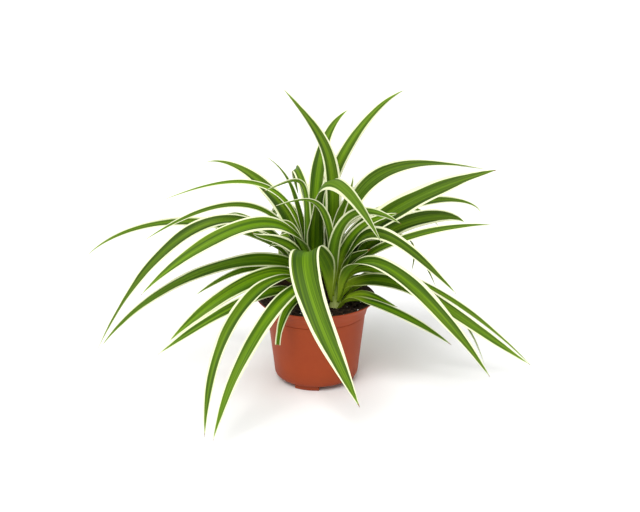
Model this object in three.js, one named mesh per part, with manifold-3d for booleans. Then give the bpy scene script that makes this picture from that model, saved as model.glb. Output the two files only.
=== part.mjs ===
// Potted spider plant: four crowns of arching striped leaves in a round moulded nursery pot.
// Millimetres, +Z up. The pot stands on the floor at z = 0, centred on the Z axis.
import * as THREE from 'three';
import { mergeVertices } from 'three/addons/utils/BufferGeometryUtils.js';
import Module from 'manifold-3d';

const wasm = await Module();
wasm.setup();

// Pot.
const RIM_R = 63.5;          // outside of the flared rim
const POT_H = 93;
const STEP_R = 52.6;         // wall under the shallow step below the rim
const STEP_Z = 74.6;
const LOW_R = 46;            // wall above the rounded corner
const LOW_Z = 16;
const BASE_R = 41.5;         // underside, inside the rounded corner
const WALL = 1.5;
const FLOOR_Z = 4.5;         // underside of the pot's floor, held up by the feet
const FLOOR_T = 1.8;
const FOOT_COUNT = 4;
const FOOT_SPAN = 38;        // degrees of arc covered by one foot
const FOOT_TURN = -104.5;    // azimuth of the first foot
const FOOT_W = 3.2;          // radial width of a foot
const DRAIN_COUNT = 6;
const DRAIN_R = 3.5;
const DRAIN_RING_R = 25;
const POT_SIDES = 60;

// Soil.
const GAP = 0.3;             // clearance left between pieces that rest on each other
const SOIL_Z = 84;           // surface in the middle, where it was firmed round the crowns
const SOIL_EDGE_R = 57;      // it rises towards the wall of the pot
const SOIL_EDGE_Z = 88.5;

// Crowns: where each one stands in the soil, x then y.
const CROWNS = {
  left: [-2, -4],
  right: [20, -12],
  back_left: [-5, 19],
  back_right: [18, 20],
};
const ROOT_R = 4.5;          // stub below the soil
const ROOT_DEPTH = 14;
const CROWN_H = 30;          // core, over the soil
const CROWN_TOP_R = 2.2;
// Leaves spring from a crown at four heights: core radius, height over the soil, launch angle,
// and width of a leaf at its base.
const LEVELS = [
  [6.4, 0.5, 62, 4.2],
  [5.4, 7.5, 73, 3.8],
  [4.4, 14.5, 80, 3.2],
  [3.3, 21.5, 86, 3.2],
];
const SEAT = 0.9;            // core surface to the middle of a leaf base

// Leaves. One row each: level, azimuth, rise, point on the way, tip, width, roll halfway, roll at the
// tip, and how full the leaf stays towards its tip. One leaf, cut short, also has a width at the tip.
const LEAVES = {
  left: [
    [0, 160, 72, [-73, -14, 127], [-127, -20, 100], 8, -30, -30, 3],
    [0, 200, 50, [-78, -65, 108], [-156, -97, 67], 12, -30, -30, 3.2],
    [0, 258, 34, [-24, -46, 102], [-39, -62, 62], 10, -40, -40, 4, 6],
    [1, 184, 62, [-73, -46, 123], [-147, -85, 75], 17, -40, -30, 3.2],
    [1, 228, 60, [-67, -78, 118], [-104, -172, 15], 14, -35, -25, 3.2],
    [1, 272, 52, [-44, -92, 108], [-95, -184, 18], 16, -60, -45, 3],
    [2, 133, 64, [-105, -28, 135], [-224, -45, 52], 16, -45, -35, 1.8],
    [2, 245, 78, [-39, -37, 165], [-63, -62, 183], 15, -80, -60, 3],
    [2, 180, 60, [-24, 2, 165], [-46, -10, 171], 11, -60, -40, 3],
    [3, 216, 131, [-86, -37, 175], [-177, -60, 115], 19, -58, -42, 3],
    [3, 116, 150, [16, -38, 228], [65, -60, 171], 26, 35, 50, 1.6],
  ],
  right: [
    [0, 346, 34, [57, -24, 101], [85, -25, 89], 9, 35, 30, 2.6],
    [0, 26, 50, [109, 4, 100], [182, -5, 17], 10, 20, 0, 2.6],
    [0, 304, 30, [69, -42, 95], [138, -65, 63], 12, 40, 30, 4],
    [1, 352, 40, [73, -28, 119], [117, -35, 94], 16, 45, 40, 2.8],
    [1, 302, 80, [73, -59, 143], [172, -105, 46], 21, 45, 30, 3],
    [1, 44, 80, [103, -20, 110], [223, -50, 34], 14, 30, 20, 3.2],
    [1, 230, 108, [-10, -72, 154], [42, -150, 35], 34, 40, 0, 2.2],
    [2, 340, 100, [67, -34, 171], [142, -55, 115], 16, 35, 20, 2.8],
    [2, 242, 100, [37, -34, 192], [86, -40, 184], 13, 30, 0, 2.6],
    [2, 110, 100, [27, 0, 190], [38, -5, 227], 12, 0, 0, 2.6],
    [3, 66, 80, [57, 10, 172], [85, 0, 184], 11, 20, 0, 2.6],
    [3, 250, 110, [0, -36, 204], [-41, -40, 203], 11, -10, 0, 2.6],
  ],
  back_left: [
    [0, 172, 44, [-107, 62, 102], [-185, 90, 58], 12, -15, 0, 2.6],
    [0, 132, 50, [-75, 90, 150], [-123, 150, 104], 10, 0, 0, 2.6],
    [0, 92, 50, [-27, 100, 134], [-45, 184, 44], 15, 0, 0, 2.6],
    [0, 52, 50, [5, 90, 120], [9, 160, 40], 13, 0, 0, 2.6],
    [1, 196, 93, [-103, 0, 175], [-235, -10, 36], 17, -45, -30, 2.6],
    [1, 147, 90, [-129, 24, 168], [-235, -36, 148], 12, -40, -30, 1.8],
    [1, 98, 80, [-33, 92, 163], [-57, 180, 96], 17, 0, 0, 2.6],
    [2, 190, 112, [-77, -6, 195], [-172, -60, 172], 8, -45, -30, 2.6],
    [2, 120, 100, [-65, 75, 201], [-124, 90, 217], 20, -40, 0, 1.9],
    [2, 60, 86, [-17, 80, 202], [-21, 130, 168], 12, 0, 0, 4],
    [2, 250, 130, [-14, 2, 213], [-55, -12, 210], 11, -20, 0, 2.6],
    [3, 139, 120, [-65, 42, 205], [-170, 50, 183], 6, -35, -20, 2.8],
    [3, 200, 84, [-26, 24, 203], [-54, 34, 237], 10, -60, -30, 2.6],
    [3, 270, 100, [33, 32, 246], [93, 36, 307], 16, 0, 0, 2.6],
    [3, 62, 100, [5, 54, 227], [35, 76, 279], 20, 0, 0, 3.6],
  ],
  back_right: [
    [0, 346, 50, [101, -4, 112], [236, -6, 11], 8, 30, 20, 3],
    [0, 28, 50, [85, 50, 140], [107, 65, 96], 11, 20, 0, 2.6],
    [0, 70, 50, [73, 92, 128], [145, 150, 48], 15, 10, 0, 2.6],
    [0, 112, 50, [29, 108, 126], [43, 184, 50], 13, 0, 0, 2.6],
    [1, 338, 66, [109, 8, 158], [186, 0, 171], 13, 50, 30, 3.4],
    [1, 28, 72, [100, 55, 158], [164, 60, 156], 20, 70, 50, 5],
    [1, 78, 80, [79, 100, 158], [149, 150, 120], 16, 10, 0, 2.6],
    [2, 354, 82, [101, 22, 191], [188, 10, 228], 25, 60, 40, 3.4],
    [2, 62, 96, [117, 78, 174], [187, 90, 156], 13, 20, 10, 3.2],
    [2, 130, 80, [47, 96, 156], [93, 172, 108], 15, 0, 0, 2.6],
    [3, 20, 130, [79, 54, 216], [186, 65, 215], 21, 45, 10, 2],
    [3, 262, 130, [14, 8, 238], [-34, -4, 316], 18, 0, 0, 2],
    [3, 130, 90, [10, 31, 190], [8, 32, 216], 12, 0, 0, 3],
  ],
};

const rad = THREE.MathUtils.degToRad;
const smooth = THREE.MathUtils.smoothstep;
const part = new THREE.Group();
part.name = 'potted_spider_plant';

function addPiece(name, geometry, material) {
  const mesh = new THREE.Mesh(geometry, new THREE.MeshStandardMaterial(material));
  mesh.name = name;
  part.add(mesh);
}

function solidFrom(points, faces) {
  const geometry = new THREE.BufferGeometry();
  geometry.setAttribute('position', new THREE.Float32BufferAttribute(points, 3));
  geometry.setIndex(faces);
  return geometry;
}

function toManifold(source) {
  const geometry = source.clone();
  geometry.deleteAttribute('normal');
  geometry.deleteAttribute('uv');
  const welded = mergeVertices(geometry, 1e-3);
  return new wasm.Manifold(new wasm.Mesh({
    numProp: 3,
    vertProperties: new Float32Array(welded.getAttribute('position').array),
    triVerts: new Uint32Array(welded.index.array),
  }));
}

function fromManifold(solid) {
  const { vertProperties, triVerts } = solid.getMesh();
  return solidFrom(Array.from(vertProperties), Array.from(triVerts));
}

// Turns a profile of [radius, z] pairs about the Z axis. The profile runs up the outside.
function turned(profile, sides = POT_SIDES) {
  const points = profile.map(([r, z]) => new THREE.Vector2(r, z));
  return new THREE.LatheGeometry(points, sides).rotateX(Math.PI / 2);
}

// Pot: thin moulded wall, flared rim above a shallow step, floor held up on feet.
const outer = [
  [BASE_R, FLOOR_Z], [BASE_R + 2.4, FLOOR_Z + 1.1], [BASE_R + 3.8, FLOOR_Z + 3.6], [LOW_R, LOW_Z],
  [STEP_R, STEP_Z], [STEP_R + 1, STEP_Z + 0.8], [STEP_R + 2.2, 81], [58, 86.6],
  [RIM_R - 1.4, 90.4], [RIM_R, 91.8], [RIM_R - 0.4, POT_H],
];
const inner = [
  [BASE_R - 1, FLOOR_Z + FLOOR_T], [BASE_R + 2.2, FLOOR_Z + 4.6], [LOW_R - WALL, LOW_Z + 0.4],
  [STEP_R - WALL, STEP_Z + 0.4], [STEP_R + 0.7, 81.6], [56.4, 87.2], [60.6, 91], [RIM_R - 1.8, POT_H],
];
let pot = toManifold(turned([[0, FLOOR_Z], ...outer, ...inner.toReversed(), [0, FLOOR_Z + FLOOR_T]]));
for (let i = 0; i < FOOT_COUNT; i += 1) {
  const from = rad(FOOT_TURN - FOOT_SPAN / 2 + (360 / FOOT_COUNT) * i);
  const to = from + rad(FOOT_SPAN);
  const outline = new THREE.Shape();
  outline.absarc(0, 0, BASE_R, from, to, false);
  outline.absarc(0, 0, BASE_R - FOOT_W, to, from, true);
  const foot = new THREE.ExtrudeGeometry(outline, {
    depth: FLOOR_Z + FLOOR_T / 2, bevelEnabled: false, curveSegments: 8,
  });
  pot = pot.add(toManifold(foot));
}
for (let i = 0; i < DRAIN_COUNT; i += 1) {
  const turn = rad((360 / DRAIN_COUNT) * i);
  const hole = new THREE.CylinderGeometry(DRAIN_R, DRAIN_R, FLOOR_T * 3, 12).rotateX(Math.PI / 2);
  hole.translate(DRAIN_RING_R * Math.cos(turn), DRAIN_RING_R * Math.sin(turn), FLOOR_Z + FLOOR_T / 2);
  pot = pot.subtract(toManifold(hole));
}
addPiece('pot', fromManifold(pot), { color: 0xa64b2c, roughness: 0.6, metalness: 0 });

// Soil: fills the pot up to just under the rim, with a blind hole for the root of each crown.
const soilSide = inner.filter(([, z]) => z < SOIL_EDGE_Z).map(([r, z]) => [r - GAP, z + GAP]);
let soil = toManifold(turned([
  [0, FLOOR_Z + FLOOR_T + GAP], ...soilSide, [SOIL_EDGE_R, SOIL_EDGE_Z],
  [SOIL_EDGE_R - 4, SOIL_EDGE_Z - 1], [46, SOIL_Z + 0.8], [38, SOIL_Z], [0, SOIL_Z],
]));
for (const [x, y] of Object.values(CROWNS)) {
  const hole = new THREE.CylinderGeometry(ROOT_R + GAP, ROOT_R + GAP, ROOT_DEPTH * 2, 20);
  soil = soil.subtract(toManifold(hole.rotateX(Math.PI / 2).translate(x, y, SOIL_Z + GAP)));
}
addPiece('soil', fromManifold(soil), { color: 0x2b241d, roughness: 1, metalness: 0 });

// Crowns: the short fleshy stem that each tuft of leaves grows from, with its root end in the soil.
for (const [name, [x, y]] of Object.entries(CROWNS)) {
  const core = LEVELS.slice(1).map(([r, z]) => [r, SOIL_Z + z]);
  const geometry = turned([
    [0, SOIL_Z - ROOT_DEPTH + GAP * 2], [ROOT_R, SOIL_Z - ROOT_DEPTH + GAP * 2], [ROOT_R, SOIL_Z + GAP],
    [LEVELS[0][0], SOIL_Z + GAP], ...core,
    [CROWN_TOP_R, SOIL_Z + CROWN_H - 2], [0, SOIL_Z + CROWN_H],
  ], 20);
  addPiece(`crown_${name}`, geometry.translate(x, y, 0), { color: 0xb9c27a, roughness: 0.6, metalness: 0 });
}

// Leaf: a strap with a shallow V fold. It leaves the crown steeply, arches through the point on
// its way and tapers to its tip. The section has a thicker midrib and thin edges.
const FINE = 120;            // steps of equal length along the midrib
const STEP = 8;              // steps between two sections of the solid
const MIDRIB_T = 1.0;
const EDGE_T = 0.6;
const WAY_U = 0.55;          // curve parameter of the point on the way
const FULL_AT = 0.26;        // share of the length at which a leaf reaches its full width
const TAPER_AT = 0.3;        // share from which it tapers
const TIP_W = 0.8;
const BASE_MAX = 0.8;        // widest base of a narrow leaf, as a share of its width
const FOLD = 15;             // degrees each half of the V rises: at the base,
const FOLD_LOW = 25;         // more over the low part of the leaf,
const FOLD_TIP = 8;          // and more towards the tip

function midrib(crown, [level, azimuth, rise, way, tip]) {
  const [coreR, height, launch] = LEVELS[level];
  const out = new THREE.Vector3(Math.cos(rad(azimuth)), Math.sin(rad(azimuth)), 0);
  const base = new THREE.Vector3(...crown, SOIL_Z + height).addScaledVector(out, coreR + SEAT);
  const up = out.clone().multiplyScalar(Math.cos(rad(launch))).setZ(Math.sin(rad(launch)));
  const first = base.clone().addScaledVector(up, rise);
  const end = new THREE.Vector3(...tip);
  const u = WAY_U;
  const v = 1 - u;
  const second = new THREE.Vector3(...way)
    .addScaledVector(base, -(v ** 3))
    .addScaledVector(first, -3 * v * v * u)
    .addScaledVector(end, -(u ** 3))
    .divideScalar(3 * v * u * u);
  const curve = new THREE.CubicBezierCurve3(base, first, second, end);
  curve.arcLengthDivisions = 400;
  return { points: curve.getSpacedPoints(FINE), out };
}

function leafSolid(crown, row) {
  const [level, , , , , width, rollMid, rollTip, full, tipW = TIP_W] = row;
  const { points, out } = midrib(crown, row);
  const baseW = Math.min(LEVELS[level][3], width * BASE_MAX);
  const side = new THREE.Vector3(-out.y, out.x, 0);
  const corners = [];
  points.forEach((p, i) => {
    const before = points[Math.max(i - 1, 0)];
    const along = points[Math.min(i + 1, FINE)].clone().sub(before).normalize();
    side.addScaledVector(along, -side.dot(along)).normalize();
    if (i % STEP) return;
    const t = i / FINE;
    const taper = Math.max(0, (t - TAPER_AT) / (1 - TAPER_AT));
    const w = Math.max(tipW, (baseW + (width - baseW) * smooth(t, 0, FULL_AT)) * (1 - taper ** full));
    const low = Math.sin(Math.PI * Math.min(t / TAPER_AT, 1));
    const fold = rad(FOLD + FOLD_LOW * low * low + FOLD_TIP * t * t);
    const roll = rad(rollMid * smooth(t, 0.04, 0.5) + (rollTip - rollMid) * smooth(t, 0.5, 1));
    const across = side.clone().applyAxisAngle(along, roll);
    const normal = along.clone().cross(across);
    const ring = [-1, 0, 1].map((s) => [
      p.clone()
        .addScaledVector(across, (s * w * Math.cos(fold)) / 2)
        .addScaledVector(normal, (Math.abs(s) * w * Math.sin(fold)) / 2),
      (s ? EDGE_T : MIDRIB_T) / 2,
    ]);
    for (const [q, half] of ring) corners.push(...q.clone().addScaledVector(normal, half));
    for (const [q, half] of ring.reverse()) corners.push(...q.clone().addScaledVector(normal, -half));
  });

  // Each ring runs left, middle, right on top, then right, middle, left underneath.
  const faces = [];
  const last = (FINE / STEP) * 6;
  for (let a = 0; a < last; a += 6) {
    for (let k = 0; k < 6; k += 1) {
      const here = a + k;
      const next = a + ((k + 1) % 6);
      if (k < 3) faces.push(here, here + 6, next + 6, here, next + 6, next);
      else faces.push(here, here + 6, next, next, here + 6, next + 6);
    }
  }
  faces.push(0, 1, 4, 0, 4, 5, 1, 2, 3, 1, 3, 4);
  faces.push(last + 4, last + 1, last, last + 5, last + 4, last);
  faces.push(last + 3, last + 2, last + 1, last + 4, last + 3, last + 1);
  return solidFrom(corners, faces);
}

for (const [crown, rows] of Object.entries(LEAVES)) {
  rows.forEach((row, i) => {
    const name = `leaf_${crown}_${String(i + 1).padStart(2, '0')}`;
    addPiece(name, leafSolid(CROWNS[crown], row), { color: 0x5a8a1e, roughness: 0.45, metalness: 0 });
  });
}

export default part;
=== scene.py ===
import math
import random

import bmesh
import bpy
import numpy as np
from mathutils import Matrix, Vector, noise


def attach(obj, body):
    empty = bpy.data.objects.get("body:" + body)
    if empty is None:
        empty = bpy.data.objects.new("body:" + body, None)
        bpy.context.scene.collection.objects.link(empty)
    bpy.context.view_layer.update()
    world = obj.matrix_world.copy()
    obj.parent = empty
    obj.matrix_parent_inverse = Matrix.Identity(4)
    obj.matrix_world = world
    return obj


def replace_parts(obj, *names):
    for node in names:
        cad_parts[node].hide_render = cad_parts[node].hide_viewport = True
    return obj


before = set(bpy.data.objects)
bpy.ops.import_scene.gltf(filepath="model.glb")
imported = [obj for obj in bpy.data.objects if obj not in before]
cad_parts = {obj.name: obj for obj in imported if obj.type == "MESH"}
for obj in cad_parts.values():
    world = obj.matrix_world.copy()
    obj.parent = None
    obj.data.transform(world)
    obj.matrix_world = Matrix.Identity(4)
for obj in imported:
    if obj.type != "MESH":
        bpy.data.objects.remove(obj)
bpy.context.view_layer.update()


# ---------------------------------------------------------------- Pot
# A grower's pot: one thin shell of terracotta-coloured polypropylene, injection moulded.
# The rim flares over a shallow step, the floor has drain holes and stands on four short feet.
# Sizes are in millimetres, and MM turns them into metres.
MM = 0.001
RIM_R = 63.5
POT_H = 93
STEP_R = 52.6
STEP_Z = 74.6
LOW_R = 46
LOW_Z = 16
BASE_R = 41.5
WALL = 1.5
FLOOR_Z = 4.5
FLOOR_T = 1.8
FOOT_COUNT = 4
FOOT_SPAN = math.radians(38)
FOOT_TURN = math.radians(-104.5)
FOOT_W = 3.2
FOOT_STEPS = 12
DRAIN_COUNT = 6
DRAIN_R = 3.5
DRAIN_RING_R = 25
POT_SIDES = 192


def linear(code):
    """An sRGB hex colour as the linear colour that Blender's sockets take."""
    parts = [int(code[i:i + 2], 16) / 255 for i in (1, 3, 5)]
    return [c / 12.92 if c <= 0.04045 else ((c + 0.055) / 1.055) ** 2.4 for c in parts] + [1.0]


def add_node(material, kind, links=None, **settings):
    """Adds a node. Each entry in links gives an input a socket to read or a value to hold."""
    tree = material.node_tree
    made = tree.nodes.new(kind)
    for key, value in settings.items():
        setattr(made, key, value)
    for key, value in (links or {}).items():
        if isinstance(value, bpy.types.NodeSocket):
            tree.links.new(value, made.inputs[key])
        else:
            made.inputs[key].default_value = value
    return made


def new_finish(name, **sockets):
    """A material with one Principled shader, and that shader."""
    material = bpy.data.materials.new(name)
    material.use_nodes = True
    material.node_tree.nodes.clear()
    values = {key.replace("_", " "): value for key, value in sockets.items()}
    shader = add_node(material, "ShaderNodeBsdfPrincipled", values)
    add_node(material, "ShaderNodeOutputMaterial", {"Surface": shader.outputs["BSDF"]})
    return material, shader


def add_piece(name, points, faces, material):
    """A mesh from points in millimetres, smooth shaded, riding on the part's one body."""
    mesh = bpy.data.meshes.new(name)
    mesh.from_pydata((np.asarray(points) * MM).tolist(), [], faces)
    mesh.polygons.foreach_set("use_smooth", [True] * len(mesh.polygons))
    mesh.materials.append(material)
    piece = bpy.data.objects.new(name, mesh)
    bpy.context.collection.objects.link(piece)
    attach(piece, "root")
    return piece


def eased(profile, steps=4):
    """Rounds each corner of a profile of [radius, z, corner size] with a short curve."""
    out = []
    for i, (r, z, size) in enumerate(profile):
        here = np.array([r, z], float)
        if size <= 0 or i in (0, len(profile) - 1):
            out.append(here)
            continue
        ends = []
        for other in (profile[i - 1], profile[i + 1]):
            way = np.array(other[:2], float) - here
            length = np.linalg.norm(way)
            ends.append(here + way / length * min(size, length * 0.45))
        for k in range(steps + 1):
            u = k / steps
            out.append((1 - u) ** 2 * ends[0] + 2 * u * (1 - u) * here + u * u * ends[1])
    return out


def turned(profile, sides):
    """Points and faces of a profile turned about the Z axis, with its first and last points on the axis."""
    ring = profile[1:-1]
    points = [(0, 0, profile[0][1])]
    for r, z in ring:
        for k in range(sides):
            a = 2 * math.pi * k / sides
            points.append((r * math.cos(a), r * math.sin(a), z))
    points.append((0, 0, profile[-1][1]))
    last = len(points) - 1
    faces = []
    for k in range(sides):
        n = (k + 1) % sides
        faces.append((0, 1 + n, 1 + k))
        for j in range(len(ring) - 1):
            a = 1 + j * sides
            faces.append((a + k, a + n, a + sides + n, a + sides + k))
        a = 1 + (len(ring) - 1) * sides
        faces.append((a + k, a + n, last))
    return points, faces


# Moulded polypropylene: dull, slightly waxy, evenly coloured, with a fine spark-eroded grain from
# the mould, faint rings from its turning and a little dried dirt low down.
CLOUD_SIZE = 36
DIRT_SIZE = 6.25
DIRT_TOP = 22
GRAIN_SIZE = 0.9
RING_PITCH = 3.5
STAIN_SLOPE = 1.1
STAIN_START = -38.6
STAIN_FADE = 0.5
pot_plastic, shader = new_finish(
    "moulded_polypropylene_terracotta", Roughness=0.5, IOR=1.49, Specular_IOR_Level=0.22,
)
place = add_node(pot_plastic, "ShaderNodeTexCoord").outputs["Object"]
cloud = add_node(pot_plastic, "ShaderNodeTexNoise", {
    "Vector": place, "Scale": 1 / (CLOUD_SIZE * MM), "Detail": 4, "Roughness": 0.6,
})
tint = add_node(pot_plastic, "ShaderNodeMix", {
    "Factor": cloud.outputs["Fac"], 6: linear("#923716"), 7: linear("#a8481f"),
}, data_type="RGBA")
height_z = add_node(pot_plastic, "ShaderNodeSeparateXYZ", {"Vector": place}).outputs["Z"]
low = add_node(pot_plastic, "ShaderNodeMapRange", {
    "Value": height_z, "From Min": DIRT_TOP * MM, "From Max": 2 * MM, "To Max": 0.55,
})
speck = add_node(pot_plastic, "ShaderNodeTexNoise", {
    "Vector": place, "Scale": 1 / (DIRT_SIZE * MM), "Detail": 6, "Roughness": 0.7,
})
dirty = add_node(pot_plastic, "ShaderNodeMath", {
    0: low.outputs["Result"], 1: speck.outputs["Fac"],
}, operation="MULTIPLY")
skin = add_node(pot_plastic, "ShaderNodeMix", {
    "Factor": dirty.outputs["Value"], 6: tint.outputs[2], 7: linear("#6d3a28"),
}, data_type="RGBA")
# Wet soil has stained the inner side of the rim. A line that slants up between its two sides tells
# the inner one by its distance from the axis.
off_axis = add_node(pot_plastic, "ShaderNodeVectorMath", {
    0: place, 1: (1, 1, 0),
}, operation="MULTIPLY")
off_axis = add_node(pot_plastic, "ShaderNodeVectorMath", {0: off_axis.outputs["Vector"]}, operation="LENGTH")
inward = add_node(pot_plastic, "ShaderNodeMath", {
    0: height_z, 1: -STAIN_SLOPE, 2: off_axis.outputs["Value"],
}, operation="MULTIPLY_ADD")
inner = add_node(pot_plastic, "ShaderNodeMapRange", {
    "Value": inward.outputs["Value"], "From Min": STAIN_START * MM,
    "From Max": (STAIN_START - STAIN_FADE) * MM, "To Max": 0.9,
})
skin = add_node(pot_plastic, "ShaderNodeMix", {
    "Factor": inner.outputs["Result"], 6: skin.outputs[2], 7: linear("#231811"),
}, data_type="RGBA")
pot_plastic.node_tree.links.new(skin.outputs[2], shader.inputs["Base Color"])
dull = add_node(pot_plastic, "ShaderNodeMapRange", {
    "Value": cloud.outputs["Fac"], "To Min": 0.42, "To Max": 0.6,
})
pot_plastic.node_tree.links.new(dull.outputs["Result"], shader.inputs["Roughness"])
# The grain is about 0.2 mm on the real mould. It is drawn at 0.9 mm, so that it shows at all.
grain = add_node(pot_plastic, "ShaderNodeTexNoise", {
    "Vector": place, "Scale": 1 / (GRAIN_SIZE * MM), "Detail": 2,
})
# The wave texture repeats every pi / 10 of its scaled length.
rings = add_node(pot_plastic, "ShaderNodeTexWave", {
    "Vector": place, "Scale": math.pi / (10 * RING_PITCH * MM), "Distortion": 0.6, "Detail": 2,
}, bands_direction="Z")
grain_bump = add_node(pot_plastic, "ShaderNodeBump", {
    "Strength": 0.35, "Distance": 0.12 * MM, "Height": grain.outputs["Fac"],
})
ring_bump = add_node(pot_plastic, "ShaderNodeBump", {
    "Strength": 0.2, "Distance": 0.1 * MM, "Height": rings.outputs["Fac"],
    "Normal": grain_bump.outputs["Normal"],
})
pot_plastic.node_tree.links.new(ring_bump.outputs["Normal"], shader.inputs["Normal"])

# The shell's outline in radius, height and size of the eased corner: up the outside, down the inside.
outside = [
    [0, FLOOR_Z, 0], [BASE_R, FLOOR_Z, 1.0],
    [BASE_R + 2.4, FLOOR_Z + 1.1, 1.6], [BASE_R + 3.8, FLOOR_Z + 3.6, 1.8],
    [LOW_R, LOW_Z, 3], [STEP_R, STEP_Z - 0.3, 0.25], [STEP_R - 0.5, STEP_Z, 0.12],
    [STEP_R - 0.5, STEP_Z + 0.5, 0.12], [STEP_R + 1, STEP_Z + 0.9, 0.4], [STEP_R + 2.2, 81, 2.5],
    [58, 86.6, 2.2], [RIM_R - 1.4, 90.4, 1.2], [RIM_R, 91.8, 0.7], [RIM_R - 0.35, POT_H, 0.5],
]
inside = [
    [RIM_R - 1.7, POT_H, 0.5], [60.6, 91, 1.4], [56.4, 87.2, 2], [STEP_R + 0.7, 81.6, 2.5],
    [STEP_R - WALL, STEP_Z + 0.4, 1], [LOW_R - WALL, LOW_Z + 0.4, 3], [BASE_R + 2.2, FLOOR_Z + 4.6, 1.8],
    [BASE_R - 1, FLOOR_Z + FLOOR_T, 0.6], [0, FLOOR_Z + FLOOR_T, 0],
]
points, faces = turned(eased(outside + inside), POT_SIDES)
pot = add_piece("nursery_pot", points, faces, pot_plastic)
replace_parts(pot, "pot")

cutter = bmesh.new()
for i in range(DRAIN_COUNT):
    turn = 2 * math.pi * i / DRAIN_COUNT
    at = Vector((DRAIN_RING_R * math.cos(turn), DRAIN_RING_R * math.sin(turn), FLOOR_Z + FLOOR_T / 2)) * MM
    bmesh.ops.create_cone(
        cutter, cap_ends=True, segments=32, radius1=DRAIN_R * MM, radius2=DRAIN_R * MM,
        depth=FLOOR_T * 3 * MM, matrix=Matrix.Translation(at),
    )
drill = bpy.data.meshes.new("drill")
cutter.to_mesh(drill)
cutter.free()
drill = bpy.data.objects.new("drill", drill)
bpy.context.collection.objects.link(drill)
cut = pot.modifiers.new("drain_holes", "BOOLEAN")
cut.object = drill
cut.solver = "EXACT"
shell = bpy.data.meshes.new_from_object(pot.evaluated_get(bpy.context.evaluated_depsgraph_get()))
pot.modifiers.clear()
bpy.data.objects.remove(drill)

# Each foot is a short curved bar with eased edges, sunk into the floor that it is moulded with.
made = bmesh.new()
made.from_mesh(shell)
for i in range(FOOT_COUNT):
    middle = FOOT_TURN + 2 * math.pi * i / FOOT_COUNT
    bars = []
    for k in range(FOOT_STEPS + 1):
        a = middle + FOOT_SPAN * (k / FOOT_STEPS - 0.5)
        ring = [(BASE_R, 0), (BASE_R, FLOOR_Z + 1), (BASE_R - FOOT_W, FLOOR_Z + 1), (BASE_R - FOOT_W, 0)]
        bars.append([made.verts.new((r * math.cos(a) * MM, r * math.sin(a) * MM, z * MM)) for r, z in ring])
    foot = [made.faces.new(bars[0]), made.faces.new(bars[-1][::-1])]
    for a, b in zip(bars, bars[1:]):
        foot += [made.faces.new((a[j], b[j], b[(j + 1) % 4], a[(j + 1) % 4])) for j in range(4)]
    bmesh.ops.recalc_face_normals(made, faces=foot)
    edges = {e for f in foot for e in f.edges if e.calc_face_angle(0) > 1}
    bmesh.ops.bevel(made, geom=list(edges), offset=0.5 * MM, segments=2, affect="EDGES")
for face in made.faces:
    face.smooth = True
made.to_mesh(shell)
made.free()
shell.set_sharp_from_angle(angle=math.radians(50))
pot.data = shell


# ---------------------------------------------------------------- Potting soil
# Peat-based mix that fills the pot to just under its rim: near-black damp peat with crumbs,
# bits of brown fibre, and white grains of perlite that lie loose on top.
# The soil keeps this far off the pot's wall.
GAP = 0.3
SOIL_Z = 84
SOIL_EDGE_R = 57
SOIL_EDGE_Z = 88.5
HEAP_R = 38
SOIL_SIDES = 128

# Damp peat: very dark, unevenly brown, matt, with a loose fibrous grain of a millimetre or two.
LUMP_SIZE = 3.2
CRUMB_SIZE = 1.1
peat, shader = new_finish("damp_peat", Roughness=0.92, Specular_IOR_Level=0.25)
place = add_node(peat, "ShaderNodeTexCoord").outputs["Object"]
lumps = add_node(peat, "ShaderNodeTexNoise", {
    "Vector": place, "Scale": 1 / (LUMP_SIZE * MM), "Detail": 4, "Roughness": 0.6,
})
shade = add_node(peat, "ShaderNodeValToRGB", {"Fac": lumps.outputs["Fac"]})
for stop, code in zip(shade.color_ramp.elements, ("#100c0a", "#4a3626")):
    stop.color = linear(code)
shade.color_ramp.elements[0].position = 0.34
shade.color_ramp.elements[1].position = 0.74
peat.node_tree.links.new(shade.outputs["Color"], shader.inputs["Base Color"])
crumbs = add_node(peat, "ShaderNodeTexNoise", {
    "Vector": place, "Scale": 1 / (CRUMB_SIZE * MM), "Detail": 6, "Roughness": 0.7,
})
crumb_bump = add_node(peat, "ShaderNodeBump", {
    "Strength": 0.9, "Distance": 0.8 * MM, "Height": crumbs.outputs["Fac"],
})
peat.node_tree.links.new(crumb_bump.outputs["Normal"], shader.inputs["Normal"])


def surface(r):
    """Height of the soil at a distance from the middle: firmed round the crowns, heaped at the wall."""
    return SOIL_Z + (SOIL_EDGE_Z - SOIL_Z) * max(0, (r - HEAP_R) / (SOIL_EDGE_R - HEAP_R)) ** 1.6


soil_side = [
    [0, FLOOR_Z + FLOOR_T + GAP], [BASE_R - 1 - GAP, FLOOR_Z + FLOOR_T + GAP],
    [BASE_R + 2.2 - GAP, FLOOR_Z + 4.6 + GAP],
    [LOW_R - WALL - GAP, LOW_Z + 0.4 + GAP], [STEP_R - WALL - GAP, STEP_Z + 0.4], [STEP_R + 0.7 - GAP, 81.6],
    [56.4 - GAP, 87.2], [SOIL_EDGE_R, SOIL_EDGE_Z],
]
soil_top = [[r, surface(r)] for r in np.linspace(SOIL_EDGE_R, 0, 37)[1:-1]]
points, faces = turned([*soil_side, *soil_top, [0, SOIL_Z]], SOIL_SIDES)
points = [Vector(p) for p in points]
# Broad humps a centimetre across with finer lumps over them, on the top only.
for p in points:
    r = math.hypot(p.x, p.y)
    if p.z > SOIL_Z - 1 and r < SOIL_EDGE_R - 1:
        p.z += 1.5 * noise.fractal(p * 0.09, 1.0, 2.0, 4) + 0.7 * noise.noise(p * 0.55)

chance = random.Random(11)
SCATTER_R = 54


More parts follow.
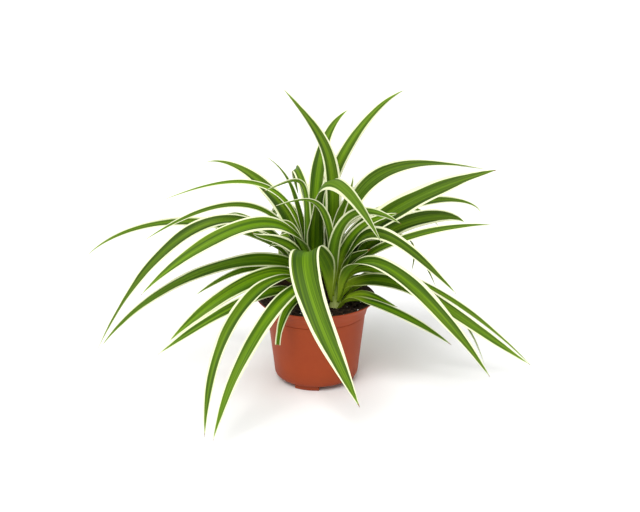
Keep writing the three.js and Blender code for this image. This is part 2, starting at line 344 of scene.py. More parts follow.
def scatter(points, faces, count, sizes, sink, squash=(0.6, 1.0), stretch=1.0):
    """Adds rough little lumps that lie on the soil, each sunk by a share of its size."""
    for _ in range(count):
        size = chance.uniform(*sizes)
        r, a = SCATTER_R * math.sqrt(chance.random()), chance.uniform(0, 2 * math.pi)
        ball = bmesh.new()
        bmesh.ops.create_icosphere(ball, subdivisions=1 if size < 1.1 else 2, radius=1)
        turn = Matrix.Rotation(chance.uniform(0, math.pi), 3, "Z")
        turn = turn @ Matrix.Rotation(chance.uniform(-0.5, 0.5), 3, "X")
        flat = chance.uniform(*squash)
        at = Vector((r * math.cos(a), r * math.sin(a), surface(r)))
        seed = Vector((chance.uniform(0, 90), 0, 0))
        start = len(points)
        for v in ball.verts:
            p = v.co * (1 + 0.38 * noise.noise(v.co * 1.4 + seed))
            p = turn @ Vector((p.x * stretch, p.y, p.z * flat))
            points.append(at + p * size + Vector((0, 0, size * flat * (1 - sink))))
        faces += [tuple(start + v.index for v in f.verts) for f in ball.faces]
        ball.free()


# Crumbs, then fibres six times as long as they are wide.
scatter(points, faces, 420, (0.7, 2.1), 0.55)
scatter(points, faces, 60, (0.5, 0.8), 0.3, (0.5, 0.8), 6.0)
soil = add_piece("potting_soil", [tuple(p) for p in points], faces, peat)
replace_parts(soil, "soil")

# Perlite: volcanic glass popped by heat into light white grains, chalky, matt and pitted.
CHALK_SIZE = 0.9
PORE_SIZE = 0.5
perlite, shader = new_finish("popped_perlite", Roughness=0.85)
place = add_node(perlite, "ShaderNodeTexCoord").outputs["Object"]
patches = add_node(perlite, "ShaderNodeTexNoise", {
    "Vector": place, "Scale": 1 / (CHALK_SIZE * MM), "Detail": 4, "Roughness": 0.6,
})
chalk = add_node(perlite, "ShaderNodeMix", {
    "Factor": patches.outputs["Fac"], 6: linear("#c9c5b8"), 7: linear("#f4f3ee"),
}, data_type="RGBA")
perlite.node_tree.links.new(chalk.outputs[2], shader.inputs["Base Color"])
pores = add_node(perlite, "ShaderNodeTexNoise", {
    "Vector": place, "Scale": 1 / (PORE_SIZE * MM), "Detail": 4, "Roughness": 0.6,
})
pore_bump = add_node(perlite, "ShaderNodeBump", {
    "Strength": 0.7, "Distance": 0.3 * MM, "Height": pores.outputs["Fac"],
})
perlite.node_tree.links.new(pore_bump.outputs["Normal"], shader.inputs["Normal"])
points, faces = [], []
scatter(points, faces, 48, (0.4, 1.0), 0.4, (0.7, 1.0))
add_piece("perlite_grains", [tuple(p) for p in points], faces, perlite)


# ---------------------------------------------------------------- Crowns
# The short fleshy stems that the leaves spring from: four divisions potted together. What shows
# of each is a tight bundle of pale leaf bases, which sheathe one another around the growing point.
# Where the middle of each crown stands.
CROWNS = {"left": (-2, -4), "right": (20, -12), "back_left": (-5, 19), "back_right": (18, 20)}
ROOT_R = 4.5
ROOT_DEPTH = 14
CROWN_H = 30
CROWN_TOP_R = 2.2
# How far off a crown's core its leaves are seated.
SEAT = 0.9
CROWN_SIDES = 40
SHEATH_ROWS = 8
SHEATH_COLS = 10
SHEATH_HALF = math.radians(62)
RIB_W = 1.1
RIB_L = 33
# Core radius, height over the soil, launch angle and base width of the leaves at each level.
LEVELS = [(6.4, 0.5, 62, 4.2), (5.4, 7.5, 73, 3.8), (4.4, 14.5, 80, 3.2), (3.3, 21.5, 86, 3.2)]
# One row a leaf: level, azimuth, rise, point on the way, tip, width, roll halfway, roll at the tip, how
# full it stays towards the tip, and for the leaf that was cut short its width at the tip.
LEAVES = {
    "left": [
        (0, 160, 72, [-73, -14, 127], [-127, -20, 100], 8, -30, -30, 3),
        (0, 200, 50, [-78, -65, 108], [-156, -97, 67], 12, -30, -30, 3.2),
        (0, 258, 34, [-24, -46, 102], [-39, -62, 62], 10, -40, -40, 4, 6),
        (1, 184, 62, [-73, -46, 123], [-147, -85, 75], 17, -40, -30, 3.2),
        (1, 228, 60, [-67, -78, 118], [-104, -172, 15], 14, -35, -25, 3.2),
        (1, 272, 52, [-44, -92, 108], [-95, -184, 18], 16, -60, -45, 3),
        (2, 133, 64, [-105, -28, 135], [-224, -45, 52], 16, -45, -35, 1.8),
        (2, 245, 78, [-39, -37, 165], [-63, -62, 183], 15, -80, -60, 3),
        (2, 180, 60, [-24, 2, 165], [-46, -10, 171], 11, -60, -40, 3),
        (3, 216, 131, [-86, -37, 175], [-177, -60, 115], 19, -58, -42, 3),
        (3, 116, 150, [16, -38, 228], [65, -60, 171], 26, 35, 50, 1.6),
    ],
    "right": [
        (0, 346, 34, [57, -24, 101], [85, -25, 89], 9, 35, 30, 2.6),
        (0, 26, 50, [109, 4, 100], [182, -5, 17], 10, 20, 0, 2.6),
        (0, 304, 30, [69, -42, 95], [138, -65, 63], 12, 40, 30, 4),
        (1, 352, 40, [73, -28, 119], [117, -35, 94], 16, 45, 40, 2.8),
        (1, 302, 80, [73, -59, 143], [172, -105, 46], 21, 45, 30, 3),
        (1, 44, 80, [103, -20, 110], [223, -50, 34], 14, 30, 20, 3.2),
        (1, 230, 108, [-10, -72, 154], [42, -150, 35], 34, 40, 0, 2.2),
        (2, 340, 100, [67, -34, 171], [142, -55, 115], 16, 35, 20, 2.8),
        (2, 242, 100, [37, -34, 192], [86, -40, 184], 13, 30, 0, 2.6),
        (2, 110, 100, [27, 0, 190], [38, -5, 227], 12, 0, 0, 2.6),
        (3, 66, 80, [57, 10, 172], [85, 0, 184], 11, 20, 0, 2.6),
        (3, 250, 110, [0, -36, 204], [-41, -40, 203], 11, -10, 0, 2.6),
    ],
    "back_left": [
        (0, 172, 44, [-107, 62, 102], [-185, 90, 58], 12, -15, 0, 2.6),
        (0, 132, 50, [-75, 90, 150], [-123, 150, 104], 10, 0, 0, 2.6),
        (0, 92, 50, [-27, 100, 134], [-45, 184, 44], 15, 0, 0, 2.6),
        (0, 52, 50, [5, 90, 120], [9, 160, 40], 13, 0, 0, 2.6),
        (1, 196, 93, [-103, 0, 175], [-235, -10, 36], 17, -45, -30, 2.6),
        (1, 147, 90, [-129, 24, 168], [-235, -36, 148], 12, -40, -30, 1.8),
        (1, 98, 80, [-33, 92, 163], [-57, 180, 96], 17, 0, 0, 2.6),
        (2, 190, 112, [-77, -6, 195], [-172, -60, 172], 8, -45, -30, 2.6),
        (2, 120, 100, [-65, 75, 201], [-124, 90, 217], 20, -40, 0, 1.9),
        (2, 60, 86, [-17, 80, 202], [-21, 130, 168], 12, 0, 0, 4),
        (2, 250, 130, [-14, 2, 213], [-55, -12, 210], 11, -20, 0, 2.6),
        (3, 139, 120, [-65, 42, 205], [-170, 50, 183], 6, -35, -20, 2.8),
        (3, 200, 84, [-26, 24, 203], [-54, 34, 237], 10, -60, -30, 2.6),
        (3, 270, 100, [33, 32, 246], [93, 36, 307], 16, 0, 0, 2.6),
        (3, 62, 100, [5, 54, 227], [35, 76, 279], 20, 0, 0, 3.6),
    ],
    "back_right": [
        (0, 346, 50, [101, -4, 112], [236, -6, 11], 8, 30, 20, 3),
        (0, 28, 50, [85, 50, 140], [107, 65, 96], 11, 20, 0, 2.6),
        (0, 70, 50, [73, 92, 128], [145, 150, 48], 15, 10, 0, 2.6),
        (0, 112, 50, [29, 108, 126], [43, 184, 50], 13, 0, 0, 2.6),
        (1, 338, 66, [109, 8, 158], [186, 0, 171], 13, 50, 30, 3.4),
        (1, 28, 72, [100, 55, 158], [164, 60, 156], 20, 70, 50, 5),
        (1, 78, 80, [79, 100, 158], [149, 150, 120], 16, 10, 0, 2.6),
        (2, 354, 82, [101, 22, 191], [188, 10, 228], 25, 60, 40, 3.4),
        (2, 62, 96, [117, 78, 174], [187, 90, 156], 13, 20, 10, 3.2),
        (2, 130, 80, [47, 96, 156], [93, 172, 108], 15, 0, 0, 2.6),
        (3, 20, 130, [79, 54, 216], [186, 65, 215], 21, 45, 10, 2),
        (3, 262, 130, [14, 8, 238], [-34, -4, 316], 18, 0, 0, 2),
        (3, 130, 90, [10, 31, 190], [8, 32, 216], 12, 0, 0, 3),
    ],
}

# Leaf base: waxy and smooth, white-green where the sheaths keep the light out, greener higher up,
# with fine ribs that run up into the leaf.
sheath_skin, shader = new_finish("blanched_leaf_sheath", Roughness=0.42, IOR=1.42)
place = add_node(sheath_skin, "ShaderNodeTexCoord").outputs["Object"]
rise = add_node(sheath_skin, "ShaderNodeSeparateXYZ", {"Vector": place}).outputs["Z"]
green = add_node(sheath_skin, "ShaderNodeMapRange", {
    "Value": rise, "From Min": (SOIL_Z - 1) * MM, "From Max": (SOIL_Z + CROWN_H + 4) * MM,
})
blanch = add_node(sheath_skin, "ShaderNodeValToRGB", {"Fac": green.outputs["Result"]})
blanch.color_ramp.elements.new(0.35)
for stop, (spot, code) in zip(blanch.color_ramp.elements, (
    (0, "#c6cf80"), (0.35, "#a3ba48"), (1, "#6c9024"),
)):
    stop.position, stop.color = spot, linear(code)
drawn_out = add_node(sheath_skin, "ShaderNodeMapping", {
    "Vector": place, "Scale": (1 / (RIB_W * MM), 1 / (RIB_W * MM), 1 / (RIB_L * MM)),
})
ribs = add_node(sheath_skin, "ShaderNodeTexNoise", {
    "Vector": drawn_out.outputs["Vector"], "Scale": 1, "Detail": 2,
})
streak = add_node(sheath_skin, "ShaderNodeMapRange", {
    "Value": ribs.outputs["Fac"], "From Min": 0.4, "From Max": 0.7, "To Max": 0.35,
})
ribbed = add_node(sheath_skin, "ShaderNodeMix", {
    "Factor": streak.outputs["Result"], 6: blanch.outputs["Color"], 7: linear("#dde2a8"),
}, data_type="RGBA")
sheath_skin.node_tree.links.new(ribbed.outputs[2], shader.inputs["Base Color"])
relief = add_node(sheath_skin, "ShaderNodeBump", {
    "Strength": 0.5, "Distance": 0.3 * MM, "Height": ribs.outputs["Fac"],
})
sheath_skin.node_tree.links.new(relief.outputs["Normal"], shader.inputs["Normal"])

core_profile = [(LEVELS[0][0], GAP)] + [(r, z) for r, z, _, _ in LEVELS[1:]] + [
    (CROWN_TOP_R, CROWN_H - 2), (0.6, CROWN_H)]
core_radii, core_heights = zip(*core_profile)
root_z = SOIL_Z - ROOT_DEPTH + GAP * 2
for name, (x, y) in CROWNS.items():
    stub = [[0, root_z], [ROOT_R, root_z], [ROOT_R, SOIL_Z - 2.5]]
    body = [[r - 0.5, SOIL_Z + z - (3 if z < 1 else 0)] for r, z in core_profile]
    points, faces = turned([*stub, *body, [0, SOIL_Z + CROWN_H]], CROWN_SIDES)
    # One sheath a leaf: wide where it clasps the core, narrowing to the leaf's own base.
    for level, azimuth, *_ in LEAVES[name]:
        core_r, height, _, base_w = LEVELS[level]
        low = max(-1.5, height - 10)
        top_half = math.asin(base_w / 2 / (core_r + SEAT))
        start = len(points)
        for j in range(SHEATH_ROWS + 1):
            v = j / SHEATH_ROWS
            z = low + (height + 2.5 - low) * v
            half = SHEATH_HALF + (top_half - SHEATH_HALF) * v ** 1.5
            core = float(np.interp(z, core_heights, core_radii))
            for i in range(SHEATH_COLS + 1):
                s = 2 * i / SHEATH_COLS - 1
                a = math.radians(azimuth) + half * s
                r = core - 0.7 + (0.9 + 0.7 * v) * (1 - s ** 4)
                points.append((r * math.cos(a), r * math.sin(a), SOIL_Z + z))
        for j in range(SHEATH_ROWS):
            for i in range(SHEATH_COLS):
                a = start + j * (SHEATH_COLS + 1) + i
                faces.append((a, a + 1, a + SHEATH_COLS + 2, a + SHEATH_COLS + 1))
    placed = [(px + x, py + y, pz) for px, py, pz in points]
    crown = add_piece(f"crown_{name}_sheaths", placed, faces, sheath_skin)
    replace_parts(crown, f"crown_{name}")


# ---------------------------------------------------------------- Leaves
# Strap leaves of the variegated spider plant, one piece each: a green blade with cream margins,
# channelled along its midrib, rising steeply from the crown, arching over and tapering to a point.
STATIONS = 120
COLUMNS = 12
# The share of its curve at which a leaf passes its point on the way.
WAY_U = 0.55
# The blades that stand up and show the face that is their under side lower down.
UPRIGHT = {"leaf_back_left_14", "leaf_back_right_12"}
# How much darker a young leaf is painted, as shade down in the heart of the crown.
PAINTED_SHADE = 0.7
# How bright or dark single leaves are beside their neighbours.
TONES = {
    "leaf_left_04": 0.8, "leaf_left_05": -0.1, "leaf_left_06": 0.6, "leaf_left_07": 0.7,
    "leaf_left_10": 0.5, "leaf_left_11": -0.3, "leaf_right_04": -0.6, "leaf_right_07": 0.2,
    "leaf_right_08": -0.9, "leaf_back_left_05": -0.6, "leaf_back_left_09": -0.6,
    "leaf_back_left_15": 0.2, "leaf_back_right_05": -0.4, "leaf_back_right_06": -0.9,
    "leaf_back_right_08": -0.7, "leaf_back_right_11": -0.4, "leaf_back_right_12": -0.3,
}


def smooth(t, low, high):
    """An eased step from 0 at low to 1 at high."""
    x = np.clip((t - low) / (high - low), 0, 1)
    return x * x * (3 - 2 * x)


def midrib(crown, level, azimuth, rise, way, tip):
    """Points at equal steps along a leaf's midrib, its length, and the direction it grows out in."""
    core_r, height, launch, _ = LEVELS[level]
    a, lift = math.radians(azimuth), math.radians(launch)
    out = np.array([math.cos(a), math.sin(a), 0.0])
    base = np.array([*crown, SOIL_Z + height]) + out * (core_r + SEAT)
    first = base + (out * math.cos(lift) + np.array([0, 0, math.sin(lift)])) * rise
    tip, u, v = np.array(tip, float), WAY_U, 1 - WAY_U
    second = (np.array(way) - v ** 3 * base - 3 * v * v * u * first - u ** 3 * tip) / (3 * v * u * u)
    s = np.linspace(0, 1, 2001)[:, None]
    curve = (1 - s) ** 3 * base + 3 * (1 - s) ** 2 * s * first + 3 * (1 - s) * s * s * second + s ** 3 * tip
    run = np.concatenate([[0], np.cumsum(np.linalg.norm(np.diff(curve, axis=0), axis=1))])
    even = np.linspace(0, run[-1], STATIONS + 1)
    return np.stack([np.interp(even, run, curve[:, k]) for k in range(3)], axis=1), run[-1], out


def blade(name, crown, row, index):
    """A leaf's mesh. Each station is a closed loop: upper face, right edge, under face, left edge."""
    level, azimuth, rise, way, tip, width, roll_mid, roll_tip, full, *cut = row
    points, length, out = midrib(crown, level, azimuth, rise, way, tip)
    draw = random.Random(700 + index)
    along = np.gradient(points, axis=0)
    along /= np.linalg.norm(along, axis=1, keepdims=True)
    side = np.array([-out[1], out[0], 0.0])
    sides = []
    for d in along:
        side = side - d * side.dot(d)
        side /= np.linalg.norm(side)
        sides.append(side)
    sides = np.array(sides)
    t = np.linspace(0, 1, STATIONS + 1)
    mm = t * length
    base_w = min(LEVELS[level][3], width * 0.8)
    taper = np.clip((t - 0.3) / 0.7, 0, None)
    w = (base_w + (width - base_w) * smooth(t, 0, 0.22)) * (1 - taper ** full)
    w = np.maximum(w, cut[0] if cut else 0.8 * (1 - 0.75 * smooth(t, 0.97, 1)))
    # Each half is folded up from the flat: most a seventh of the way along, a little more again at the tip.
    fold = np.radians(15 + 25 * np.sin(np.pi * np.minimum(t / 0.3, 1)) ** 2 + 8 * t * t)
    roll = np.radians(roll_mid * smooth(t, 0.04, 0.5) + (roll_tip - roll_mid) * smooth(t, 0.5, 1))
    ends = smooth(t, 0.05, 0.25) * (1 - smooth(t, 0.85, 1))
    roll += np.radians(draw.uniform(2, 5)) * np.sin(mm / draw.uniform(16, 26) + draw.uniform(0, 6)) * ends
    square = np.cross(along, sides)
    across = sides * np.cos(roll)[:, None] + square * np.sin(roll)[:, None]
    normal = np.cross(along, across)

    # Across the blade: the channel is sharp at the midrib, and each half swells a little towards its margin.
    s = np.linspace(-1, 1, COLUMNS + 1)
    s = np.sign(s) * np.abs(s) ** 1.15
    bend = (np.sqrt(s * s + 0.006) - math.sqrt(0.006)) / (math.sqrt(1.006) - math.sqrt(0.006))
    bend = 1.4 * bend - 0.4 * bend ** 2
    # Each margin ripples by itself, more on a wide blade.
    ripple = ends * np.minimum(w / 14, 1.3)
    wave = ripple * draw.uniform(0.25, 0.8) * np.sin(mm / draw.uniform(8, 13) + draw.uniform(0, 6))
    other = ripple * draw.uniform(0.25, 0.8) * np.sin(mm / draw.uniform(8, 13) + draw.uniform(0, 6))
    half = w / 2
    x = half[:, None] * np.cos(fold)[:, None] * s
    y = (half * np.sin(fold))[:, None] * bend
    y += np.where(s < 0, wave[:, None], other[:, None]) * np.abs(s) ** 2.5
    thick = 0.2 + 0.12 * (1 - np.abs(s)) + 0.12 * np.exp(-(s / 0.12) ** 2)
    thick = thick * np.minimum(1, 0.35 + w / 5)[:, None]
    centre = points[:, None] + across[:, None] * x[..., None] + normal[:, None] * y[..., None]
    top = centre + normal[:, None] * (thick * 0.8)[..., None]
    under = centre - normal[:, None] * (thick * 1.1)[..., None]
    reach = 0.14 * np.minimum(1, w / 4)[:, None]
    right = centre[:, -1] + across * reach
    left = centre[:, 0] - across * reach
    loops = np.concatenate([top, right[:, None], under[:, ::-1], left[:, None]], axis=1)

    # Facts for the finish. Those with _mm are in millimetres. share goes from 0 at the midrib to 1 at
    # the edge, tone from -1 dark to 1 bright, and under is 1 on the under side.
    both = np.concatenate([s, [1], s[::-1], [-1]])
    sized = np.broadcast_to(both, loops.shape[:2])
    drift = 1 + 0.18 * np.sin(mm / 31 + draw.uniform(0, 6)) + 0.1 * np.sin(mm / 9 + draw.uniform(0, 6))
    rim = np.clip(0.1 * w + 0.25, 0.35, 2.6) * drift * (0.45 + 0.55 * smooth(mm, 20, 90))
    uneven = draw.uniform(-0.25, 0.25)
    dry_mm = draw.choice([0, 0, 0, 1, 2, 3.5])
    # Random tone, and for young leaves painted shade that darkens them.
    tone_and_shade = draw.uniform(-0.5, 0.5) - (PAINTED_SHADE if name.startswith("young") else 0)
    facts = {
        "across_mm": sized * half[:, None],
        "along_mm": np.broadcast_to(mm[:, None], loops.shape[:2]),
        "edge_mm": (1 - np.abs(sized)) * half[:, None],
        "margin_mm": rim[:, None] * np.where(sized < 0, 1 - uneven, 1 + uneven),
        "share": np.abs(sized),
        "to_tip_mm": np.broadcast_to((length - mm)[:, None], loops.shape[:2]),
        "dry_mm": np.full(loops.shape[:2], dry_mm),
        "tone": np.full(loops.shape[:2], TONES.get(name, tone_and_shade)),
        "seed": np.full(loops.shape[:2], index * 7.3),
        "under": np.broadcast_to(
            np.concatenate([np.zeros(COLUMNS + 1), [0.5], np.ones(COLUMNS + 1), [0.5]]), loops.shape[:2]),
    }
    if name in UPRIGHT:
        facts["under"] = facts["under"] * 0
    return loops.reshape(-1, 3), facts


around = 2 * COLUMNS + 4
blade_faces = []
for a in range(0, STATIONS * around, around):
    for k in range(around):
        n = (k + 1) % around
        blade_faces.append((a + k, a + around + k, a + around + n, a + n))
blade_faces.append(tuple(range(around)))
blade_faces.append(tuple(range(STATIONS * around, (STATIONS + 1) * around))[::-1])


def lay_out():
    """The bake map: upper and under face each cut into three strips that lie side by side."""
    spots = np.zeros((sum(len(f) for f in blade_faces), 2))
    cuts, wide = 3, COLUMNS + 2
    corner = 0
    for f, face in enumerate(blade_faces[:-2]):
        station, k = divmod(f, around)
        strip = station // (STATIONS // cuts)
        lower = COLUMNS < k < around - 1
        column = k - COLUMNS - 1 if lower else (k + 1) % around
        for vertex in face:
            v_station, v_k = divmod(vertex, around)
            up = v_station - strip * (STATIONS // cuts)
            right = (v_k == (k + 1) % around)
            spots[corner] = (
                (strip * 2 + lower + 0.04 + 0.92 * (column + right) / wide) / (cuts * 2),
                0.03 + 0.96 * up / (STATIONS // cuts),
            )
            corner += 1
    for face in blade_faces[-2:]:
        for i in range(len(face)):
            a = 2 * math.pi * i / len(face)
            spots[corner] = (0.5 + 0.008 * math.cos(a) + (0.2 if face[0] else 0), 0.012 + 0.008 * math.sin(a))
            corner += 1
    return spots


# Leaf skin: a smooth waxy cuticle over parallel veins. It gives the eye a soft gloss broken into
# fine lengthwise lines. The green is painted brightest along the midrib as a highlight and deepest beside the
# margins as shade where the halves curve away, the margins have no green in them at all, and the under side
# is paler and duller.
leaf_skin, shader = new_finish(
    "waxy_variegated_leaf", IOR=1.45, Specular_IOR_Level=0.14, Specular_Tint=linear("#cfdb98"),
)
fact = {name: add_node(leaf_skin, "ShaderNodeAttribute", attribute_name=name).outputs["Fac"] for name in (
    "across_mm", "along_mm", "edge_mm", "margin_mm", "share", "to_tip_mm", "dry_mm", "tone", "seed", "under",
)}
VEIN_W = 0.85
VEIN_L = 90
BAND_W = 2.6
BAND_L = 220
UNDER_PALER = 0.2


def lengthwise(width_mm, length_mm, detail):
    """A pattern drawn out along the leaf into streaks about width_mm wide and length_mm long."""
    x = add_node(leaf_skin, "ShaderNodeMath", {0: fact["across_mm"], 1: 1 / width_mm}, operation="MULTIPLY")
    y = add_node(leaf_skin, "ShaderNodeMath", {0: fact["along_mm"], 1: 1 / length_mm}, operation="MULTIPLY")
    spot = add_node(leaf_skin, "ShaderNodeCombineXYZ", {
        "X": x.outputs["Value"], "Y": y.outputs["Value"], "Z": fact["seed"],
    })
    return add_node(leaf_skin, "ShaderNodeTexNoise", {
        "Vector": spot.outputs["Vector"], "Scale": 1, "Detail": detail, "Roughness": 0.55,
    }).outputs["Fac"]


def laid_over(colour, code, where, low, high, most=1.0, grows_in=None):
    """A colour with another laid over it: not at all where the fact is at low, by most where it is at high.

    With grows_in, the new colour also comes in between those two distances from the leaf's base.
    """
    amount = add_node(leaf_skin, "ShaderNodeMapRange", {
        "Value": where, "From Min": low, "From Max": high, "To Max": most,
    }, interpolation_type="SMOOTHSTEP").outputs["Result"]
    if grows_in:
        start, end = grows_in
        reached = add_node(leaf_skin, "ShaderNodeMapRange", {
            "Value": fact["along_mm"], "From Min": start, "From Max": end,
        }, interpolation_type="SMOOTHSTEP")
        amount = add_node(leaf_skin, "ShaderNodeMath", {
            0: amount, 1: reached.outputs["Result"],
        }, operation="MULTIPLY").outputs["Value"]
    return add_node(leaf_skin, "ShaderNodeMix", {
        "Factor": amount, 6: colour, 7: linear(code),
    }, data_type="RGBA").outputs[2]


# Painted highlight and shade: the green is lightest at the midrib, where the channel catches light, and
# darkest towards the margins, where the halves curve away.
green = add_node(leaf_skin, "ShaderNodeValToRGB", {"Fac": fact["share"]})
green.color_ramp.elements.new(0.3)
green.color_ramp.elements.new(0.6)
for stop, (spot, code) in zip(green.color_ramp.elements, (
    (0, "#5e840a"), (0.28, "#486c08"), (0.58, "#2f4f07"), (0.86, "#1c3605"),
)):
    stop.position, stop.color = spot, linear(code)
veins = lengthwise(VEIN_W, VEIN_L, 2)
bands = lengthwise(BAND_W, BAND_L, 1)
colour = green.outputs["Color"]
for code, pattern, low, high, most in (
    ("#70920f", bands, 0.48, 0.7, 0.4), ("#274508", bands, 0.5, 0.3, 0.45),
    ("#7c9a1a", veins, 0.5, 0.7, 0.42), ("#233f06", veins, 0.5, 0.3, 0.5),
):
    colour = laid_over(colour, code, pattern, low, high, most)
value = add_node(leaf_skin, "ShaderNodeMapRange", {
    "Value": fact["tone"], "From Min": -1, "From Max": 1, "To Min": 0.7, "To Max": 1.3,
})
colour = add_node(leaf_skin, "ShaderNodeHueSaturation", {
    "Value": value.outputs["Result"], "Color": colour,
}).outputs["Color"]
# Painted sheen: a thin grey cast on the outer part of the blade stands in for light reflected from the
# surround.
colour = laid_over(colour, "#a6b07c", fact["along_mm"], 50, 190, 0.06)
# Margin: the change from green to cream takes about 0.3 mm, beside a paler green line 0.8 mm wide.
# It wanders by up to half a millimetre with the veins, and is yellower on the part near the base.
green_mm = add_node(leaf_skin, "ShaderNodeMath", {
    0: fact["edge_mm"], 1: fact["margin_mm"],
}, operation="SUBTRACT")
inside_mm = add_node(leaf_skin, "ShaderNodeMath", {
    0: veins, 1: 0.9, 2: green_mm.outputs["Value"],
}, operation="MULTIPLY_ADD").outputs["Value"]
colour = laid_over(colour, "#a2c05c", inside_mm, 1.2, 0.5, 0.5, grows_in=(30, 90))
colour = laid_over(colour, "#b9c878", inside_mm, 0.55, 0.3, 0.5)
colour = laid_over(colour, "#eceec8", inside_mm, 0.55, 0.3, grows_in=(10, 100))
# Base: yellow-green where the crown has shaded it.
colour = laid_over(colour, "#b9d636", fact["along_mm"], 46, 4, 0.8)
# Under side: the same pattern through a paler, greyer skin.
under = add_node(leaf_skin, "ShaderNodeMath", {0: fact["under"], 1: UNDER_PALER}, operation="MULTIPLY")
colour = add_node(leaf_skin, "ShaderNodeMix", {
    "Factor": under.outputs["Value"], 6: colour, 7: linear("#6a8a2e"),
}, data_type="RGBA").outputs[2]
# Tips dry out to brown over their last few millimetres on some of the leaves.
moist_mm = add_node(leaf_skin, "ShaderNodeMath", {
    0: fact["to_tip_mm"], 1: fact["dry_mm"],
}, operation="SUBTRACT")
left_mm = add_node(leaf_skin, "ShaderNodeMath", {
    0: veins, 1: 2.0, 2: moist_mm.outputs["Value"],
}, operation="MULTIPLY_ADD").outputs["Value"]
colour = laid_over(colour, "#8a6a3e", left_mm, 2.4, 0.6)
leaf_skin.node_tree.links.new(colour, shader.inputs["Base Color"])
dull = add_node(leaf_skin, "ShaderNodeMapRange", {
    "Value": veins, "From Min": 0.2, "From Max": 0.8, "To Min": 0.34, "To Max": 0.5,
}, interpolation_type="SMOOTHSTEP")
duller = add_node(leaf_skin, "ShaderNodeMath", {
    0: fact["under"], 1: 0.18, 2: dull.outputs["Result"],
}, operation="MULTIPLY_ADD")
leaf_skin.node_tree.links.new(duller.outputs["Value"], shader.inputs["Roughness"])
# The veins stand a quarter of a millimetre proud and 0.85 mm apart, coarser than real ones, to show.
vein_bump = add_node(leaf_skin, "ShaderNodeBump", {"Strength": 0.5, "Distance": 0.25 * MM, "Height": veins})
leaf_skin.node_tree.links.new(vein_bump.outputs["Normal"], shader.inputs["Normal"])

bake_spots = lay_out()


def add_leaf(name, crown, row, index):
    """A finished leaf with the facts that its skin reads and the map that it is baked on."""
    points, facts = blade(name, CROWNS[crown], row, index)
    leaf = add_piece(f"{name}_blade", points, blade_faces, leaf_skin)
    for key, values in facts.items():
        leaf.data.attributes.new(key, "FLOAT", "POINT").data.foreach_set("value", values.ravel())
    leaf.data.uv_layers.new(name="OFBake").data.foreach_set("uv", bake_spots.ravel())
    return leaf


index = 0
for crown_name, rows in LEAVES.items():
    for number, row in enumerate(rows, 1):
        name = f"leaf_{crown_name}_{number:02d}"
        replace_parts(add_leaf(name, crown_name, row, index), name)
        index += 1


# ---------------------------------------------------------------- Young leaves
# The short leaves that fill the heart of each crown: the same blades, still small and in the shade
# of the long ones, which they stand between; their skins are painted darker for that shade. Their rows read
# like those of the long leaves.
YOUNG = {
    "left": [
        [1, 135, 50, [-28, 0, 146], [-50, -4, 148], 14, -50, -40, 2.6],
    ],
    "right": [
        [0, 65, 40, [48, -4, 114], [72, -6, 116], 12, 30, 20, 3],
        [1, 90, 50, [38, 6, 134], [58, 10, 142], 12, 20, 10, 3],
        [1, 150, 60, [14, 4, 140], [12, 8, 165], 13, 0, 0, 3],
    ],
    "back_left": [
        [1, 135, 60, [-24, 39, 143], [-46, 45, 143], 14, -30, -20, 2.6],
        [0, 155, 50, [-21, 44, 121], [-29, 66, 119], 12, 0, 0, 2.6],
    ],
    "back_right": [
        [1, 5, 60, [46, 24, 144], [70, 28, 146], 14, 40, 30, 3],
        [0, 90, 50, [40, 50, 124], [58, 68, 120], 12, 20, 10, 3],
        [1, 190, 60, [4, 10, 150], [-4, 8, 176], 14, 0, 0, 3],
    ],
}
for crown_name, rows in YOUNG.items():
    for number, row in enumerate(rows, 1):
        add_leaf(f"young_leaf_{crown_name}_{number:02d}", crown_name, row, index)
        index += 1


# ---------------------------------------------------------------- Studio
# A wide white table in soft light: a broad key light high in front to the left, a small soft box
# on the right and one behind, and a white surround that fills the shadows.
TABLE_HALF = 30
MOTTLE_SIZE = 900
table_top = bpy.data.meshes.new("studio_table")
corners = [(x * TABLE_HALF, y * TABLE_HALF, 0) for x, y in ((-1, -1), (1, -1), (1, 1), (-1, 1))]
table_top.from_pydata(corners, [], [(0, 1, 2, 3)])
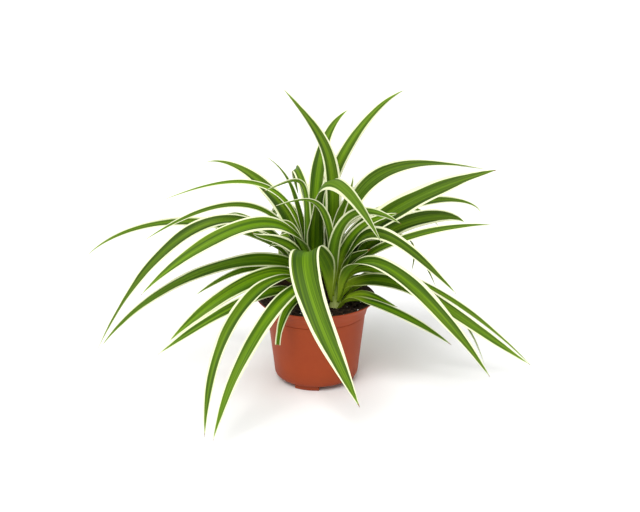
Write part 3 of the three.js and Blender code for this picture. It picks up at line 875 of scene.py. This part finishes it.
# Board laminate: matt and even, all but pure white, so that soft shadows show on it.
white_board, shader = new_finish("matt_white_board", Roughness=0.9, Specular_IOR_Level=0.1)
place = add_node(white_board, "ShaderNodeTexCoord").outputs["Object"]
mottle = add_node(white_board, "ShaderNodeTexNoise", {
    "Vector": place, "Scale": 1 / (MOTTLE_SIZE * MM), "Detail": 1, "Roughness": 0.6,
})
shade = add_node(white_board, "ShaderNodeMix", {
    "Factor": mottle.outputs["Fac"], 6: linear("#fafafa"), 7: linear("#fefefe"),
}, data_type="RGBA")
white_board.node_tree.links.new(shade.outputs[2], shader.inputs["Base Color"])
table_top.materials.append(white_board)
floor = bpy.data.objects.new("studio_table", table_top)
bpy.context.collection.objects.link(floor)

scene = bpy.context.scene
scene.view_settings.view_transform = "Standard"
world = bpy.data.worlds.new("white_surround")
world.use_nodes = True
world.node_tree.nodes["Background"].inputs["Color"].default_value = (1, 1, 1, 1)
world.node_tree.nodes["Background"].inputs["Strength"].default_value = 0.6
scene.world = world
for name, kind, at, size, power in (
    ("key_light", "SUN", (-0.5, -0.9, 1.5), math.radians(40), 2.5),
    ("fill_soft_box", "AREA", (1.5, -0.9, 1.3), 1.4, 3),
    ("back_soft_box", "AREA", (0.2, 1.4, 1.7), 1.2, 4),
):
    lamp = bpy.data.lights.new(name, kind)
    setattr(lamp, "angle" if kind == "SUN" else "size", size)
    lamp.energy = power
    lamp = bpy.data.objects.new(name, lamp)
    lamp.location = at
    lamp.rotation_euler = (Vector((0, 0, 0.12)) - Vector(at)).to_track_quat("-Z", "Y").to_euler()
    bpy.context.collection.objects.link(lamp)

# Seen from 1.1 m off and 18.5 degrees above, with a short telephoto lens.
CAMERA_OFF = 1.1
camera = bpy.data.cameras.new("camera")
camera.sensor_width = 36
camera.lens = 58.58
camera = bpy.data.objects.new("camera", camera)
target = Vector((0.004, 0, 0.137))
down = math.radians(18.5)
camera.location = target + CAMERA_OFF * Vector((0, -math.cos(down), math.sin(down)))
camera.rotation_euler = (target - camera.location).to_track_quat("-Z", "Y").to_euler()
bpy.context.collection.objects.link(camera)
scene.camera = camera
